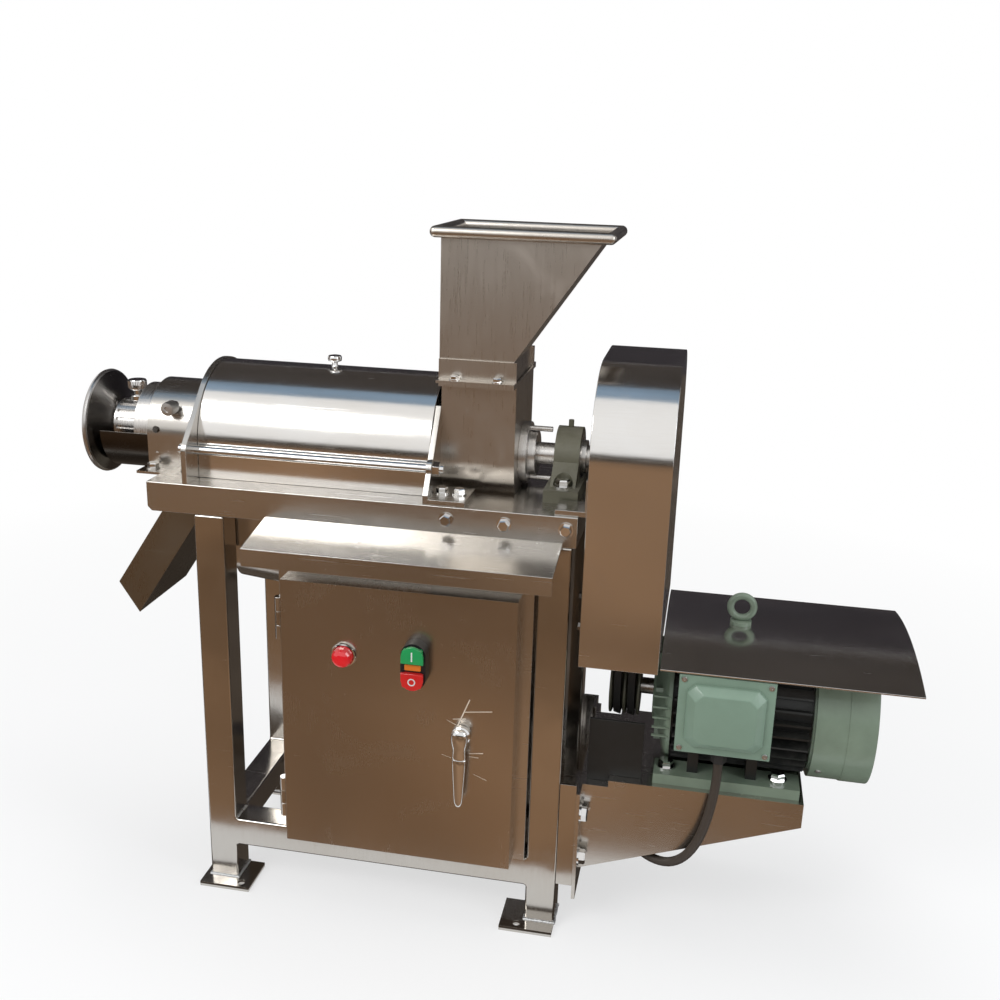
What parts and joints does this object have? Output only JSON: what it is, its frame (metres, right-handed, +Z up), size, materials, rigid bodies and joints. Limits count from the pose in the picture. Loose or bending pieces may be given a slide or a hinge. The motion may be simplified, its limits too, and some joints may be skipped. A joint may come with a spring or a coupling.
{
  "type": "cold press juicer",
  "caption": "Commercial screw cold press juicer on a floor stand, with hopper, screen drum under an arched cover, pomace chute, belt drive, hooded motor and control cabinet.",
  "frame": {"origin": "on the floor, at the middle of the four foot anchor holes, which is also the middle of the leg frame", "axes": "+X along the screw towards the motor, -Y towards the operator at the cabinet door, +Z up"},
  "size_m": [0.9568, 0.32, 0.791],
  "materials": {
    "frame_tube": "polished square tube, scuffed at the feet",
    "sheet_steel": "satin stainless sheet",
    "polished_sheet": "polished stainless sheet",
    "brushed_sheet": "vertically brushed stainless sheet",
    "turned_steel": "turned stainless steel",
    "polished_trim": "bright plated",
    "dark_steel": "dark polished steel",
    "cast_iron": "olive painted casting",
    "bearing_steel": "ground steel",
    "motor_paint": "pale green enamel",
    "box_paint": "green enamel",
    "black_rubber": "matt rubber",
    "black_plastic": "moulded",
    "grey_plastic": "moulded",
    "zinc_plate": "zinc plated",
    "green_plastic": "moulded",
    "red_plastic": "moulded",
    "amber_plastic": "translucent lens",
    "lamp_lens": "domed red lens in a metal ring"
  },
  "bodies": {
    "stand": {"leg_frame": "frame_tube", "foot_plates": "frame_tube", "bed_tray": "sheet_steel", "cabinet_roof": "sheet_steel", "cabinet_box": "sheet_steel", "mounting_panel": "zinc_plate", "contactor": "grey_plastic", "door_hinges": "polished_trim", "left_end_plate": "sheet_steel", "right_support_plate": "sheet_steel", "tie_rods": "polished_trim", "screen_drum": "turned_steel", "juice_collector": "sheet_steel", "discharge_housing": "sheet_steel", "ring_flange": "turned_steel", "ribbed_neck": "turned_steel", "drip_shield": "dark_steel", "pomace_chute": "sheet_steel", "feed_box": "brushed_sheet", "hopper": "brushed_sheet", "shaft_seal": "turned_steel", "pillow_block": "cast_iron", "bearing_insert": "bearing_steel", "guard_brackets": "sheet_steel", "belt_guard": "polished_sheet", "drive_belts": "black_rubber", "pulley_plate": "dark_steel", "motor_bracket": "sheet_steel", "bracket_rails": "frame_tube", "motor_frame": "motor_paint", "motor_end_bells": "motor_paint", "fan_cowl": "motor_paint", "terminal_box": "box_paint", "terminal_lid": "box_paint", "cable_glands": "black_rubber", "motor_cable": "black_rubber", "eye_bolt": "dark_steel", "motor_hood": "polished_sheet", "hood_support": "dark_steel", "hex_bolts": "polished_trim"},
    "door": {"cabinet_door": "sheet_steel", "indicator_lamp": "lamp_lens", "button_body": "black_plastic", "button_lamp": "amber_plastic"},
    "start_key": {"start_button": "green_plastic"},
    "stop_key": {"stop_button": "red_plastic"},
    "handle": {"door_handle": "polished_trim", "latch_cam": "polished_trim"},
    "cover": {"cover_shell": "polished_sheet", "cover_knob": "polished_trim"},
    "screw": {"auger": "turned_steel", "main_shaft": "turned_steel", "large_pulley": "cast_iron"},
    "rotor": {"motor_shaft": "bearing_steel", "small_pulley": "cast_iron", "cooling_fan": "black_plastic"},
    "cone": {"pressure_cone": "turned_steel"},
    "wheel": {"handwheel": "dark_steel", "adjusting_spindle": "turned_steel"},
    "lock": {"lock_screw": "polished_trim"}
  },
  "joints": [
    {"name": "door_swing", "type": "hinge", "parent": "stand", "child": "door", "pos_m": [-0.1085, -0.13, 0.25], "axis": [0, 0, -1], "range_deg": [0, 110]},
    {"name": "handle_turn", "type": "hinge", "parent": "door", "child": "handle", "pos_m": [0.104, -0.142, 0.253], "axis": [0, -1, 0], "range_deg": [0, 90]},
    {"name": "start_press", "type": "slide", "parent": "door", "child": "start_key", "axis": [0, 1, 0], "range_m": [0, 0.0025], "stiffness_N_per_m": 600, "springref_m": -0.002},
    {"name": "stop_press", "type": "slide", "parent": "door", "child": "stop_key", "axis": [0, 1, 0], "range_m": [0, 0.0025], "stiffness_N_per_m": 600, "springref_m": -0.002},
    {"name": "cover_lift", "type": "slide", "parent": "stand", "child": "cover", "axis": [0, 0, 1], "range_m": [0, 0.12]},
    {"name": "screw_spin", "type": "hinge", "parent": "stand", "child": "screw", "pos_m": [0, 0, 0.5405], "axis": [1, 0, 0], "continuous": true},
    {"name": "motor_spin", "type": "hinge", "parent": "stand", "child": "rotor", "pos_m": [0.4, 0, 0.267], "axis": [1, 0, 0], "continuous": true},
    {"name": "cone_feed", "type": "slide", "parent": "stand", "child": "cone", "axis": [1, 0, 0], "range_m": [-0.012, 0]},
    {"name": "wheel_turn", "type": "hinge", "parent": "cone", "child": "wheel", "pos_m": [-0.36, 0, 0.5405], "axis": [1, 0, 0], "range_deg": [-720, 0]},
    {"name": "lock_turn", "type": "hinge", "parent": "stand", "child": "lock", "pos_m": [-0.331, 0, 0.58], "axis": [0, 0, 1], "range_deg": [0, 360]}
  ],
  "couplings": [
    {"joint": "motor_spin", "follows": "screw_spin", "ratio": 3.1382},
    {"joint": "cone_feed", "follows": "wheel_turn", "m_per_rad": 0.0009549}
  ]
}
